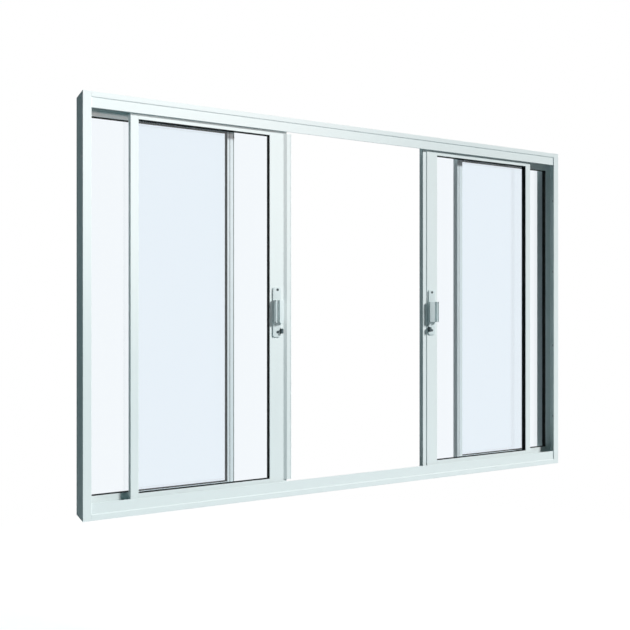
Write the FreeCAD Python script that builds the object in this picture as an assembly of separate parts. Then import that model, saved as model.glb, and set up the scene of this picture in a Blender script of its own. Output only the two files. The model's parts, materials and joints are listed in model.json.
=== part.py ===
import FreeCAD, Part
import math
import os

# Four-panel horizontal sliding window in powder-coated aluminium, seen from the room side.
# Millimetres. X runs along the window, +Y points away from the room, +Z is up.
# The origin is on the underside of the sill, at mid width and mid depth of the frame.
# The two outer panels are fixed in the rear track, the two middle ones slide in the front track.

# Driving dimensions of the whole frame
overall_width = 1500.0
overall_height = 1000.0
frame_depth = 76.0

# Frame profiles
web_wall = 2.0
flange_wall = 2.0
band_wall = 1.6
box_wall = 1.8
jamb_face = 20.0
head_face = 37.5
sill_face = 40.0
head_lip = 12.0
sill_lip = 13.0
band_recess = 2.0
lip_chamfer = 2.0
head_box_height = 17.0
sill_box_height = 20.0
guide_fin_wall = 2.0
guide_fin_height = 22.0
track_rail_wall = 3.0
track_rail_height = 20.0

# Sash profiles
sash_thickness = 19.5
front_reveal = 8.6
track_gap = 5.0
sash_wall = 1.6
sash_bottom = 12.0
sash_top_gap = 10.0
stile_width = 19.5
pocket_depth = 11.5
rail_sight_from_sill = 50.0
rail_sight_from_head = 50.0
guide_slot_width = 12.0
guide_slot_depth = 18.0
roller_slot_depth = 24.9

# Panel widths and where the middle panels stand in the photographed position
left_fixed_width = 386.5
right_fixed_width = 384.0
left_sliding_width = 414.3
right_sliding_width = 416.0
left_panel_offset = 113.0
right_panel_offset = 113.0

# Meeting stiles. The left one carries a raised lip that laps over a lowered strip on the right one
left_meeting_width = 49.0
lip_width = 13.0
lip_slope = 8.0
lip_overhang = 12.0
lip_wall = 1.6
lip_rise = 4.5
lip_end_gap = 5.0
lip_line_place = 3.0
lip_line_width = 1.0
lip_line_depth = 0.6
right_meeting_width = 50.0
strip_width = 11.4
strip_slope = 1.7
strip_drop = 2.1

# Lines in the room face of the fixed panels' inner stiles, measured from the free edge
face_line_width = 1.6
face_line_depth = 0.8
left_face_lines = (11.7, 1.4)
right_face_lines = (5.7,)

# Edge radii
frame_edge = 0.8
sash_edge = 0.6
strip_edge = 0.3

# Glazing
glass_thickness = 4.0
glass_setback = 10.0
glass_bite = 8.0
gasket_proud = 0.6
gasket_gap = 0.5

# Rollers
wheel_radius = 7.0
wheel_width = 7.0
wheel_flange_rise = 1.2
wheel_flange_width = 1.8
wheel_running_gap = 0.3
axle_radius = 2.0
axle_clearance = 0.05
axle_short = 0.3
roller_inset = 60.0
housing_length = 44.0
housing_height = 12.0
housing_wheel_gap = 1.0

# Packers under the fixed panels and guides over the sliding ones
packer_length = 40.0
packer_inset = 70.0
packer_saddle = 6.0
packer_play = 0.1
guide_length = 30.0
guide_inset = 45.0
guide_height = 14.0
guide_fin_clearance = 0.4

# Drain slots in the outer chamber of the sill
drain_length = 30.0
drain_height = 5.0
drain_rise = 3.0
drain_spacing = 480.0

# Latch on each meeting stile
plate_width = 23.0
plate_height = 131.0
plate_thickness = 3.5
plate_corner = 6.0
left_plate_from_glass = 8.0
right_plate_from_glass = 10.0
latch_from_glass = 20.0
latch_below_middle = 13.5
pull_height = 59.0
pull_above_centre = 1.5
pull_glass_reach = 13.5
pull_free_reach = 15.5
pull_edge_wall = 0.9
pull_channel_width = 3.0
pull_channel_floor = 9.0
pull_rib_width = 3.4
pull_groove_width = 7.3
pull_groove_floor = 6.0
pull_rib_depth = 13.5
pull_face_depth = 14.2
pull_free_depth = 9.0
pull_round = 1.2
pull_rib_round = 0.8
button_width = 6.0
button_height = 13.4
button_corner = 2.4
button_depth = 11.5
button_chamfer = 0.6
button_from_end = 15.7
button_to_free_side = 11.6
button_clearance = 0.2

# Fixing holes through the jambs
fixing_radius = 2.75
fixing_outer_spacing = 700.0
fixing_inner_spacing = 240.0
fixing_from_front = 18.35

# How far a cutting block runs past the face it opens
cut_past = 1.0

# Derived planes and edges
half_width = overall_width / 2
front_plane = -frame_depth / 2
back_plane = frame_depth / 2
front_sash_face = front_plane + front_reveal
rear_sash_face = front_sash_face + sash_thickness + track_gap
seat_plane = rear_sash_face + sash_thickness
sash_middle = sash_thickness / 2
sash_top = overall_height - sash_top_gap
rail_sight_low = rail_sight_from_sill
rail_sight_high = overall_height - rail_sight_from_head
latch_middle = overall_height / 2 - latch_below_middle

os.makedirs("parts", exist_ok=True)


def outline_wire(corners, place):
    """Closed wire through 2-D corners; a corner (a, b, r) is rounded to radius r."""
    flat = [FreeCAD.Vector(corner[0], corner[1], 0) for corner in corners]
    joins = []
    for index, corner in enumerate(corners):
        here = flat[index]
        if len(corner) == 2:
            joins.append([here])
            continue
        back = (flat[index - 1] - here).normalize()
        ahead = (flat[(index + 1) % len(flat)] - here).normalize()
        half_angle = back.getAngle(ahead) / 2
        radius = corner[2]
        setback = radius / math.tan(half_angle)
        bulge = radius / math.sin(half_angle) - radius
        inward = (back + ahead).normalize()
        joins.append([here + back * setback, here + inward * bulge, here + ahead * setback])
    edges = []
    for index, join in enumerate(joins):
        placed = [FreeCAD.Vector(*place(point.x, point.y)) for point in join]
        if len(placed) == 3:
            edges.append(Part.Arc(*placed).toShape())
        following = joins[(index + 1) % len(joins)][0]
        start = placed[-1]
        end = FreeCAD.Vector(*place(following.x, following.y))
        if start.distanceToPoint(end) > 1e-6:
            edges.append(Part.makeLine(start, end))
    return Part.Wire(edges)


def prism(outline, chambers, place, run):
    """Extruded profile with hollow chambers; place turns a 2-D corner into a 3-D one."""
    body = Part.Face(outline_wire(outline, place)).extrude(run)
    for chamber in chambers:
        body = body.cut(Part.Face(outline_wire(chamber, place)).extrude(run))
    return body


def along_x(outline, chambers, start, end):
    """Profile drawn as (y, z) corners, run from x=start to x=end."""
    return prism(outline, chambers, lambda y, z: (start, y, z), FreeCAD.Vector(end - start, 0, 0))


def along_z(outline, chambers, start, end):
    """Profile drawn as (x, y) corners, run from z=start to z=end."""
    return prism(outline, chambers, lambda x, y: (x, y, start), FreeCAD.Vector(0, 0, end - start))


def block(low, high):
    """Rectangular block between two opposite corners."""
    size = [high[i] - low[i] for i in range(3)]
    return Part.makeBox(size[0], size[1], size[2], FreeCAD.Vector(*low))


def rectangle(low_a, high_a, low_b, high_b):
    """Corners of a rectangle in a profile plane."""
    return [(low_a, low_b), (high_a, low_b), (high_a, high_b), (low_a, high_b)]


def mirrored(shape):
    """The same shape on the other side of the window's middle plane."""
    return shape.mirror(FreeCAD.Vector(0, 0, 0), FreeCAD.Vector(1, 0, 0))


def track_middles():
    """Depth of the middle of each sash, front track first."""
    return [front_sash_face + sash_middle, rear_sash_face + sash_middle]


def frame_rail(outer, inward, lip, face, box, fin_wall, fin_height):
    """Head or sill profile: stepped front band, web, two track fins and a rear chamber.

    outer is the height of the outside face and inward is +1 or -1 towards the opening.
    """
    def at(distance):
        return outer + inward * distance

    band_front = front_plane + band_recess
    band_back = band_front + band_wall
    middles = track_middles()
    outline = [
        (front_plane, at(0), frame_edge),
        (front_plane, at(lip), frame_edge),
        (band_front, at(lip + lip_chamfer)),
        (band_front, at(face), frame_edge),
        (band_back, at(face)),
        (band_back, at(web_wall)),
    ]
    for middle in middles:
        outline += [
            (middle - fin_wall / 2, at(web_wall)),
            (middle - fin_wall / 2, at(fin_height)),
            (middle + fin_wall / 2, at(fin_height)),
            (middle + fin_wall / 2, at(web_wall)),
        ]
    outline += [
        (seat_plane, at(web_wall)),
        (seat_plane, at(box)),
        (back_plane, at(box), frame_edge),
        (back_plane, at(0), frame_edge),
    ]
    chamber = rectangle(seat_plane + box_wall, back_plane - box_wall, at(web_wall), at(box - box_wall))
    inner_end = half_width - web_wall
    rail = along_x(outline, [chamber], -inner_end, inner_end)
    low = min(at(0), at(face)) - cut_past
    high = max(at(0), at(face)) + cut_past
    shoulder = half_width - jamb_face
    for side in (-1, 1):
        near, far = sorted((side * shoulder, side * (inner_end + cut_past)))
        front_notch = block((near, front_plane - cut_past, low), (far, front_plane + flange_wall, high))
        back_notch = block((near, seat_plane, low), (far, back_plane + cut_past, high))
        rail = rail.cut(front_notch).cut(back_notch)
    return rail


def drained_sill():
    """Sill with two slots through the outer wall of its rear chamber."""
    sill = frame_rail(0, 1, sill_lip, sill_face, sill_box_height, track_rail_wall, track_rail_height)
    for middle in (-drain_spacing / 2, drain_spacing / 2):
        low = (middle - drain_length / 2, back_plane - box_wall - cut_past, drain_rise)
        high = (middle + drain_length / 2, back_plane + cut_past, drain_rise + drain_height)
        sill = sill.cut(block(low, high))
    return sill


def jamb():
    """Left jamb: front flange, web and rear chamber, full height, with four fixing holes."""
    outer = -half_width
    outline = [
        (outer, front_plane, frame_edge),
        (outer + jamb_face, front_plane, frame_edge),
        (outer + jamb_face, front_plane + flange_wall),
        (outer + web_wall, front_plane + flange_wall),
        (outer + web_wall, seat_plane),
        (outer + jamb_face, seat_plane),
        (outer + jamb_face, back_plane, frame_edge),
        (outer, back_plane, frame_edge),
    ]
    chamber = rectangle(outer + web_wall, outer + jamb_face - box_wall,
                        seat_plane + box_wall, back_plane - box_wall)
    body = along_z(outline, [chamber], 0, overall_height)
    reaches = (fixing_outer_spacing / 2, fixing_inner_spacing / 2)
    for offset in [sign * reach for reach in reaches for sign in (-1, 1)]:
        start = FreeCAD.Vector(outer - cut_past, front_plane + fixing_from_front,
                               overall_height / 2 + offset)
        hole = Part.makeCylinder(fixing_radius, web_wall + 2 * cut_past, start, FreeCAD.Vector(1, 0, 0))
        body = body.cut(hole)
    return body


def sash_rail(face, edge, sight, slot_depth, left, right):
    """Sash rail from its outer edge to the sight line, open to the track and to the glass."""
    inward = 1 if sight > edge else -1
    back = face + sash_thickness
    reach = abs(sight - edge)

    def at(distance):
        return edge + inward * distance

    pocket_floor = reach - pocket_depth
    outline = [
        (face, at(0)),
        (face, at(reach), sash_edge),
        (face + sash_wall, at(reach)),
        (face + sash_wall, at(pocket_floor)),
        (back - sash_wall, at(pocket_floor)),
        (back - sash_wall, at(reach)),
        (back, at(reach), sash_edge),
        (back, at(0)),
    ]
    lips = (sash_thickness - guide_slot_width) / 2
    outline += [
        (back - lips, at(0)),
        (back - lips, at(slot_depth)),
        (face + lips, at(slot_depth)),
        (face + lips, at(0)),
    ]
    chambers = []
    chamber_start = slot_depth + sash_wall
    chamber_end = pocket_floor - sash_wall
    if chamber_end - chamber_start > sash_wall:
        chambers.append(rectangle(face + sash_wall, back - sash_wall, at(chamber_start), at(chamber_end)))
    return along_x(outline, chambers, left, right)


def track_slots(left, right, face):
    """Notches that let the head fin and the sill rail pass through the ends of a stile."""
    middle = face + sash_middle
    half = guide_slot_width / 2
    top = block((left - cut_past, middle - half, sash_top - guide_slot_depth),
                (right + cut_past, middle + half, sash_top + cut_past))
    low = block((left - cut_past, middle - half, sash_bottom - cut_past),
                (right + cut_past, middle + half, sash_bottom + roller_slot_depth))
    return top.fuse(low)


def stile(outer, inner, face, front, hollow_front):
    """Upright from its outer edge to its glass edge: hollow tube plus glass pocket.

    front lists the corners of the room face and hollow_front those of the hollow behind it,
    each as distance from the outer edge, depth behind the sash face and, where round, radius.
    """
    inward = 1 if inner > outer else -1
    width = abs(inner - outer)
    back = face + sash_thickness

    def at(distance):
        return outer + inward * distance

    def placed(corners):
        return [(at(corner[0]), face + corner[1], *corner[2:]) for corner in corners]

    outline = placed(front) + [
        (at(width), face, sash_edge),
        (at(width), face + sash_wall),
        (at(width - pocket_depth), face + sash_wall),
        (at(width - pocket_depth), back - sash_wall),
        (at(width), back - sash_wall),
        (at(width), back, sash_edge),
        (at(0), back, sash_edge),
    ]
    tube_end = width - pocket_depth - sash_wall
    chamber = placed(hollow_front) + [
        (at(tube_end), face + hollow_front[-1][1]),
        (at(tube_end), back - sash_wall),
        (at(sash_wall), back - sash_wall),
    ]
    body = along_z(outline, [chamber], sash_bottom, sash_top)
    low, high = sorted((outer, inner))
    return body.cut(track_slots(low, high, face))


def plain_stile(outer, inner, face):
    """Upright with a flat room face."""
    return stile(outer, inner, face, [(0, 0, sash_edge)], [(sash_wall, sash_wall)])


def lined_stile(outer, inner, face, lines):
    """Upright whose room face carries shallow lines at the given distances from the outer edge."""
    front = [(0, 0, sash_edge)]
    for place in sorted(lines):
        front += [
            (place, 0),
            (place, face_line_depth),
            (place + face_line_width, face_line_depth),
            (place + face_line_width, 0),
        ]
    return stile(outer, inner, face, front, [(sash_wall, face_line_depth + sash_wall)])


def pane(sight_left, sight_right, face):
    """Glass pane held in the four pockets."""
    low = (sight_left - glass_bite, face + glass_setback, rail_sight_low - glass_bite)
    high = (sight_right + glass_bite, face + glass_setback + glass_thickness, rail_sight_high + glass_bite)
    return block(low, high)


def glazing_gasket(sight_left, sight_right, face, glass):
    """Black wrap-round gasket that grips the pane and fills the pocket mouths."""
    reach = pocket_depth - gasket_gap
    front = face + sash_wall
    back = face + sash_thickness - sash_wall
    ring = block((sight_left - reach, front, rail_sight_low - reach),
                 (sight_right + reach, back, rail_sight_high + reach))
    window = block((sight_left + gasket_proud, front - cut_past, rail_sight_low + gasket_proud),
                   (sight_right - gasket_proud, back + cut_past, rail_sight_high - gasket_proud))
    return ring.cut(window).cut(glass)


def inset_pair(left, right, inset):
    """Two places set in by the same distance from both ends."""
    return [left + inset, right - inset]


def packers(left, right, face):
    """Two saddles on the sill rail that carry a fixed panel."""
    middle = face + sash_middle
    half = guide_slot_width / 2
    rail_half = track_rail_wall / 2 + packer_play
    top = sash_bottom + roller_slot_depth
    saddles = []
    for place in inset_pair(left, right, packer_inset):
        low_x = place - packer_length / 2
        high_x = place + packer_length / 2
        body = block((low_x, middle - half, track_rail_height - packer_saddle), (high_x, middle + half, top))
        slot = block((low_x - cut_past, middle - rail_half, track_rail_height - packer_saddle - cut_past),
                     (high_x + cut_past, middle + rail_half, track_rail_height))
        saddles.append(body.cut(slot))
    return Part.makeCompound(saddles)


def guides(left, right, face):
    """Two pairs of pads in the top slot of a sliding panel, one pad on each side of the head fin."""
    middle = face + sash_middle
    half = guide_slot_width / 2
    fin_half = guide_fin_wall / 2 + guide_fin_clearance
    floor = sash_top - guide_slot_depth
    pads = []
    for place in inset_pair(left, right, guide_inset):
        for near, far in ((middle - half, middle - fin_half), (middle + fin_half, middle + half)):
            pads.append(block((place - guide_length / 2, near, floor),
                              (place + guide_length / 2, far, floor + guide_height)))
    return Part.makeCompound(pads)


def roller_centres(left, right, face):
    """Centres of the two wheels under a sliding sash."""
    height = track_rail_height + wheel_running_gap + wheel_radius
    return [FreeCAD.Vector(x, face + sash_middle, height) for x in inset_pair(left, right, roller_inset)]


def wheel(centre):
    """Flanged wheel with its axle, turned about the axle."""
    half = wheel_width / 2
    axle_half = guide_slot_width / 2 - axle_short
    rim = wheel_radius + wheel_flange_rise
    profile = [
        (0, -axle_half),
        (axle_radius, -axle_half),
        (axle_radius, -half),
        (rim, -half),
        (wheel_radius, -half + wheel_flange_width),
        (wheel_radius, half - wheel_flange_width),
        (rim, half),
        (axle_radius, half),
        (axle_radius, axle_half),
        (0, axle_half),
    ]
    section = outline_wire(profile, lambda radius, y: (centre.x + radius, centre.y + y, centre.z))
    return Part.Face(section).revolve(centre, FreeCAD.Vector(0, 1, 0), 360)


def roller_housing(centre):
    """Nylon carrier that is pushed up into the rail, slotted for its wheel."""
    top = sash_bottom + roller_slot_depth
    low = top - housing_height
    half_length = housing_length / 2
    half = guide_slot_width / 2
    body = block((centre.x - half_length, centre.y - half, low),
                 (centre.x + half_length, centre.y + half, top))
    room = wheel_radius + wheel_flange_rise + housing_wheel_gap
    side_room = wheel_width / 2 + housing_wheel_gap
    slot = block((centre.x - room, centre.y - side_room, low - cut_past),
                 (centre.x + room, centre.y + side_room, top + cut_past))
    hole = Part.makeCylinder(axle_radius + axle_clearance, 2 * half + 2 * cut_past,
                             FreeCAD.Vector(centre.x, centre.y - half - cut_past, centre.z),
                             FreeCAD.Vector(0, 1, 0))
    return body.cut(slot).cut(hole)


def button_block(axis, side, face, margin, depth):
    """Upright block with round corners at the button's place, widened all round by a margin."""
    middle = axis + side * button_to_free_side
    height = latch_middle - plate_height / 2 + button_from_end
    outline = [(middle + a * (button_width / 2 + margin), height + b * (button_height / 2 + margin),
                button_corner + margin) for a, b in ((-1, -1), (1, -1), (1, 1), (-1, 1))]
    return Part.Face(outline_wire(outline, lambda x, z: (x, face, z))).extrude(FreeCAD.Vector(0, -depth, 0))


def latch_plate(middle, axis, side, face):
    """Plate lying on the stile face, with round corners and a bay for the button."""
    outline = [(middle + a * plate_width / 2, latch_middle + b * plate_height / 2, plate_corner)
               for a, b in ((-1, -1), (1, -1), (1, 1), (-1, 1))]
    plate = Part.Face(outline_wire(outline, lambda x, z: (x, face, z)))
    plate = plate.extrude(FreeCAD.Vector(0, -plate_thickness, 0))
    bay = button_block(axis, side, face + cut_past, button_clearance, plate_thickness + 2 * cut_past)
    return plate.cut(bay)


def latch_pull(axis, side, face):
    """Finger pull: a channel and a rib on the glass side, a groove, and a face falling to the free edge."""
    base = face - plate_thickness
    start = axis - side * pull_glass_reach
    width = pull_glass_reach + pull_free_reach
    channel_end = pull_edge_wall + pull_channel_width
    rib_end = channel_end + pull_rib_width
    groove_end = rib_end + pull_groove_width
    profile = [
        (0, 0),
        (0, pull_rib_depth),
        (pull_edge_wall, pull_rib_depth),
        (pull_edge_wall, pull_channel_floor),
        (channel_end, pull_channel_floor),
        (channel_end, pull_rib_depth, pull_rib_round),
        (rib_end, pull_rib_depth, pull_rib_round),
        (rib_end, pull_groove_floor),
        (groove_end, pull_groove_floor),
        (groove_end, pull_face_depth, pull_round),
        (width, pull_free_depth, pull_round),
        (width, 0),
    ]
    outline = [(start + side * corner[0], base - corner[1], *corner[2:]) for corner in profile]
    low = latch_middle + pull_above_centre - pull_height / 2
    return along_z(outline, [], low, low + pull_height)


def latch_button(axis, side, face):
    """Upright lock button low on the plate, standing on the stile."""
    button = button_block(axis, side, face, 0, button_depth)
    rim = [edge for edge in button.Edges if edge.BoundBox.YMax < face - button_depth / 2]
    return button.makeChamfer(button_chamfer, rim)


def panel_core(left_end, right_end, face):
    """Rails, pane and gasket between the glass edges of two stiles."""
    glass = pane(left_end, right_end, face)
    return {
        "top_rail": sash_rail(face, sash_top, rail_sight_high, guide_slot_depth, left_end, right_end),
        "bottom_rail": sash_rail(face, sash_bottom, rail_sight_low, roller_slot_depth, left_end, right_end),
        "glass": glass,
        "gasket": glazing_gasket(left_end, right_end, face, glass),
    }


def fixed_panel(side, width, lines):
    """Fixed panel in the rear track; side is +1 for the left panel and -1 for the right one."""
    face = rear_sash_face
    jamb_edge = -side * (half_width - web_wall)
    free_edge = jamb_edge + side * width
    jamb_end = jamb_edge + side * stile_width
    free_end = free_edge - side * stile_width
    left_end, right_end = sorted((jamb_end, free_end))
    pieces = panel_core(left_end, right_end, face)
    pieces["jamb_stile"] = plain_stile(jamb_edge, jamb_end, face)
    pieces["interlock_stile"] = lined_stile(free_edge, free_end, face, lines)
    pieces["packers"] = packers(left_end, right_end, face)
    return pieces


def sliding_panel(side, offset, width, meeting_width, meeting_stile, plate_from_glass):
    """Sliding panel in the front track; side is +1 for the left panel and -1 for the right one."""
    face = front_sash_face
    outer = -side * (half_width - offset)
    outer_end = outer + side * stile_width
    meeting_edge = outer + side * width
    meeting_end = meeting_edge - side * meeting_width
    left_end, right_end = sorted((outer_end, meeting_end))
    left, right = sorted((outer, meeting_edge))
    centres = roller_centres(left, right, face)
    plate_middle = meeting_end + side * (plate_from_glass + plate_width / 2)
    axis = meeting_end + side * latch_from_glass
    pieces = panel_core(left_end, right_end, face)
    pieces["interlock_stile"] = plain_stile(outer, outer_end, face)
    pieces["meeting_stile"] = meeting_stile(meeting_edge, meeting_end, face)
    pieces["guides"] = guides(left_end, right_end, face)
    pieces["wheels"] = Part.makeCompound([wheel(centre) for centre in centres])
    pieces["roller_housings"] = Part.makeCompound([roller_housing(centre) for centre in centres])
    pieces["latch_plate"] = latch_plate(plate_middle, axis, side, face)
    pieces["latch_pull"] = latch_pull(axis, side, face)
    pieces["latch_button"] = latch_button(axis, side, face)
    return pieces


def left_meeting_stile(edge, end, face):
    """Meeting stile with a raised lip between the head and sill bands that laps over the other panel."""
    front = face - lip_rise
    tip = edge + lip_overhang
    foot = tip - lip_width - lip_slope
    line = tip - lip_line_place
    outline = [
        (foot, face),
        (tip - lip_width, front, strip_edge),
        (line - lip_line_width, front),
        (line - lip_line_width, front + lip_line_depth),
        (line, front + lip_line_depth),
        (line, front),
        (tip, front, sash_edge),
        (tip, front + lip_wall, sash_edge),
        (edge, front + lip_wall),
        (edge, face + sash_wall),
        (foot, face + sash_wall),
    ]
    lip = along_z(outline, [], sill_face + lip_end_gap, overall_height - head_face - lip_end_gap)
    return stile(edge, end, face, [(0, 0)], [(sash_wall, sash_wall)]).fuse(lip).removeSplitter()


def right_meeting_stile(edge, end, face):
    """Meeting stile with a lowered strip along its free edge, where the lip of the other panel lands."""
    front = [
        (0, strip_drop, strip_edge),
        (strip_width, strip_drop),
        (strip_width + strip_slope, 0),
    ]
    hollow_front = [
        (sash_wall, strip_drop + sash_wall),
        (strip_width, strip_drop + sash_wall),
        (strip_width + strip_slope, sash_wall),
    ]
    return stile(edge, end, face, front, hollow_front)


left_jamb = jamb()
sub_parts = {
    "head_track": frame_rail(overall_height, -1, head_lip, head_face, head_box_height,
                             guide_fin_wall, guide_fin_height),
    "sill_track": drained_sill(),
    "left_jamb": left_jamb,
    "right_jamb": mirrored(left_jamb),
}
panels = {
    "left_fixed": fixed_panel(1, left_fixed_width, left_face_lines),
    "right_fixed": fixed_panel(-1, right_fixed_width, right_face_lines),
    "left_sliding": sliding_panel(1, left_panel_offset, left_sliding_width, left_meeting_width,
                                  left_meeting_stile, left_plate_from_glass),
    "right_sliding": sliding_panel(-1, right_panel_offset, right_sliding_width, right_meeting_width,
                                   right_meeting_stile, right_plate_from_glass),
}
for panel, pieces in panels.items():
    for piece, shape in pieces.items():
        sub_parts[panel + "_" + piece] = shape
for name, shape in sub_parts.items():
    shape.exportStep("parts/" + name + ".step")
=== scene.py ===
import json
import math

import bmesh
import bpy
import numpy as np
from bpy.props import FloatProperty, FloatVectorProperty, IntProperty, PointerProperty
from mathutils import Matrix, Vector


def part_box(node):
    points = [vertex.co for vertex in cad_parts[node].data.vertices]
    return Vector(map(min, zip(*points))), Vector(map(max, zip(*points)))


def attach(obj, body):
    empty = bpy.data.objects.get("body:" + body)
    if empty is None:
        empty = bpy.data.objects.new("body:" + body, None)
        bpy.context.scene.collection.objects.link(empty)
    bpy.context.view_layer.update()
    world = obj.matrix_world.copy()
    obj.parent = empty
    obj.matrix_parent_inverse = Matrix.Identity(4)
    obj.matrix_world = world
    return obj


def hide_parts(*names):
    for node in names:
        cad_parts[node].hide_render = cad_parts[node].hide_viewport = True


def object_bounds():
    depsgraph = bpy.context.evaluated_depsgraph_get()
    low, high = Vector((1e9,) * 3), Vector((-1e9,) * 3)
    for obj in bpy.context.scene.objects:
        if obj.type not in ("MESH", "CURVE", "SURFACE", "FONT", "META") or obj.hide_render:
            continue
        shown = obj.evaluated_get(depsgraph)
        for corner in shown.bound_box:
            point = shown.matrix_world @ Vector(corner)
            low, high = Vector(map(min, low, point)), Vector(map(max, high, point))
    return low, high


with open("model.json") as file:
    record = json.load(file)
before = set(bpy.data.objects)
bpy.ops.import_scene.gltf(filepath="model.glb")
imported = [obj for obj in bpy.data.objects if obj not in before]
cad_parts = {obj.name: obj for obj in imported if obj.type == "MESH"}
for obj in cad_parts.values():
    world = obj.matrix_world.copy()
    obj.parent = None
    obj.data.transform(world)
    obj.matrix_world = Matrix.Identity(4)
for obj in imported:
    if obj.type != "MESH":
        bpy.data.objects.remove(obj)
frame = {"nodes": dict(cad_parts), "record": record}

bl_info = {
    "name": "Horizontal sliding window",
    "version": (1, 0, 0),
    "blender": (4, 5, 0),
    "location": "View3D > Sidebar > Sliding window",
    "description": "Finishes, gaskets, seals, latches and screws of a four-panel aluminium sliding window",
    "category": "Object",
}

CAD_BOX = [list(corner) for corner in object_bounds()]
MM = 0.001
SIDES = ("left", "right")
TRACKS = ("fixed", "sliding")
# Points on a rounded corner: of most outlines, of seal sections, of the latch buttons and plates.
CORNER_STEPS = 6
SEAL_STEPS = 4
BUTTON_STEPS = 8
PLATE_STEPS = 10
# Points round a screw head, and rings over it.
ROUND_STEPS = 48
HEAD_RINGS = 26
# Largest share of the bay's depth that the rounding of its corners may take.
BAY_CORNER_SHARE = 0.45
SENSOR_WIDTH = 36.0
FLOOR_SECTORS = 64
FLOOR_RINGS = 12
WHITE = (1.0, 1.0, 1.0)


def linear(hex_colour):
    """Linear RGB of an sRGB hex colour: each channel over 255, with the sRGB curve undone."""
    channels = np.array([int(hex_colour[i:i + 2], 16) for i in (0, 2, 4)]) / 255.0
    curved = ((channels + 0.055) / 1.055) ** 2.4
    return tuple(np.where(channels <= 0.04045, channels / 12.92, curved).tolist())


def length_property(name, description, millimetres):
    """A length kept in metres and shown in the scene's own unit."""
    return FloatProperty(name=name, description=description, default=millimetres * MM, min=0.0,
                         subtype="DISTANCE", unit="LENGTH", precision=5)


def colour_property(name, description, hex_colour):
    """A colour given as sRGB hex and kept linear."""
    return FloatVectorProperty(name=name, description=description, default=linear(hex_colour),
                               size=3, min=0.0, max=1.0, subtype="COLOR")


def power_property(name, description, watts):
    """The power of a lamp in watts."""
    return FloatProperty(name=name, description=description, default=watts, min=0.0)


def share_property(name, description, share):
    """A plain number from 0 to 1."""
    return FloatProperty(name=name, description=description, default=share, min=0.0, max=1.0,
                         subtype="FACTOR")


class WindowFinishes(bpy.types.PropertyGroup):
    """Colours and gloss of the materials."""
    coat: colour_property("Powder coat", "White of the coated profiles", "E6EFEF")
    coat_roughness: share_property("Coat roughness", "Satin of the powder coat", 0.5)
    glass: colour_property("Glass tint", "What one pane lets through", "F3F8FC")
    rubber: colour_property("Gasket rubber", "Black of the glazing gaskets", "070C0E")
    latch: colour_property("Latch metal", "Grey of the latch plates and pulls", "D8E4E5")
    latch_roughness: share_property("Latch roughness", "Satin of the latch metal", 0.42)
    button: colour_property("Button plastic", "Dark grey of the lock buttons", "48585C")
    nylon: colour_property("Nylon", "White of rollers, guides and packers", "DADAD2")
    # The pile's grey is partly its own and partly painted shade. It is made darker to deepen the dark line
    # in the gap under the head band.
    pile: colour_property("Brush pile", "Grey of the woven pile seals", "50585A")
    screw: colour_property("Frame screws", "Zinc-plated screws in the jambs", "C4C9CB")
    dark_screw: colour_property("Latch screws", "Darker plated screws in the latch plates", "5E686B")


class WindowGasket(bpy.types.PropertyGroup):
    """Section of the glazing gasket."""
    proud: length_property("Proud", "How far the gasket shows beyond the sash", 0.6)
    seated: length_property("Seated", "How far it reaches into the pocket", 8.0)
    lip: length_property("Lip", "Set back of the waist between front edge and glass", 0.3)
    round: length_property("Rounding", "Radius of the gasket's free edges", 0.5)
    front_edge: share_property("Front edge", "Place of the proud front edge between face and glass", 0.25)
    waist: share_property("Waist", "Place of the waist between face and glass", 0.6)


class WindowLatch(bpy.types.PropertyGroup):
    """Sizes of the latch on each meeting stile."""
    corner: length_property("Plate corner", "Corner radius of the latch plate", 6.0)
    plate_edge: length_property("Plate edge", "Rounding along the front edge of the plate", 0.5)
    edge_wall: length_property("Edge wall", "Thickness of the pull's outer wall on the glass side", 0.9)
    channel_width: length_property("Channel width", "Width of the narrow channel in the pull", 3.0)
    channel_floor: length_property("Channel floor", "Height of the channel's floor", 9.0)
    rib_width: length_property("Rib width", "Width of the rib between channel and groove", 3.4)
    rib_depth: length_property("Rib height", "How far the rib stands out from the plate", 13.5)
    groove_width: length_property("Groove width", "Width of the groove beside the rib", 7.3)
    groove_floor: length_property("Groove floor", "Height of the groove's floor", 6.0)
    face_depth: length_property("Face height", "Height of the grip face beside the groove", 14.2)
    free_depth: length_property("Free edge height", "Height of the grip face at its free edge", 9.0)
    rib_round: length_property("Rib rounding", "Radius of the rib's two edges", 1.0)
    edge_round: length_property("Edge rounding", "Radius of the grip face's two edges", 1.0)
    wall_round: length_property("Wall rounding", "Radius of the outer wall's two edges", 0.27)
    foot_round: length_property("Foot rounding", "Radius along the floors of channel and groove", 0.6)
    end_round: length_property("End rounding", "Radius round the pull's upper and lower end", 0.315)
    button_corner: length_property("Button corner", "Corner radius of the lock button", 2.4)
    button_round: length_property("Button rounding", "Radius along the front edge of the lock button", 0.8)
    dish: length_property("Button dish", "Depth of the hollow in the button's face", 0.4)
    bay_play: length_property("Bay play", "Gap between the button and the plate's bay", 0.2)
    screw_radius: length_property("Screw head", "Radius of the plate's screw heads", 3.4)
    screw_dome: length_property("Screw dome", "Height of the screw heads", 1.0)
    screw_from_end: length_property("Screw place", "Distance of the upper screw from its end", 6.6)
    low_screw_from_end: length_property("Low screw place", "Distance of the low screw from its end", 13.0)
    screw_from_button: length_property("Screw side", "Distance of the screws from the button's axis", 10.3)


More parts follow.
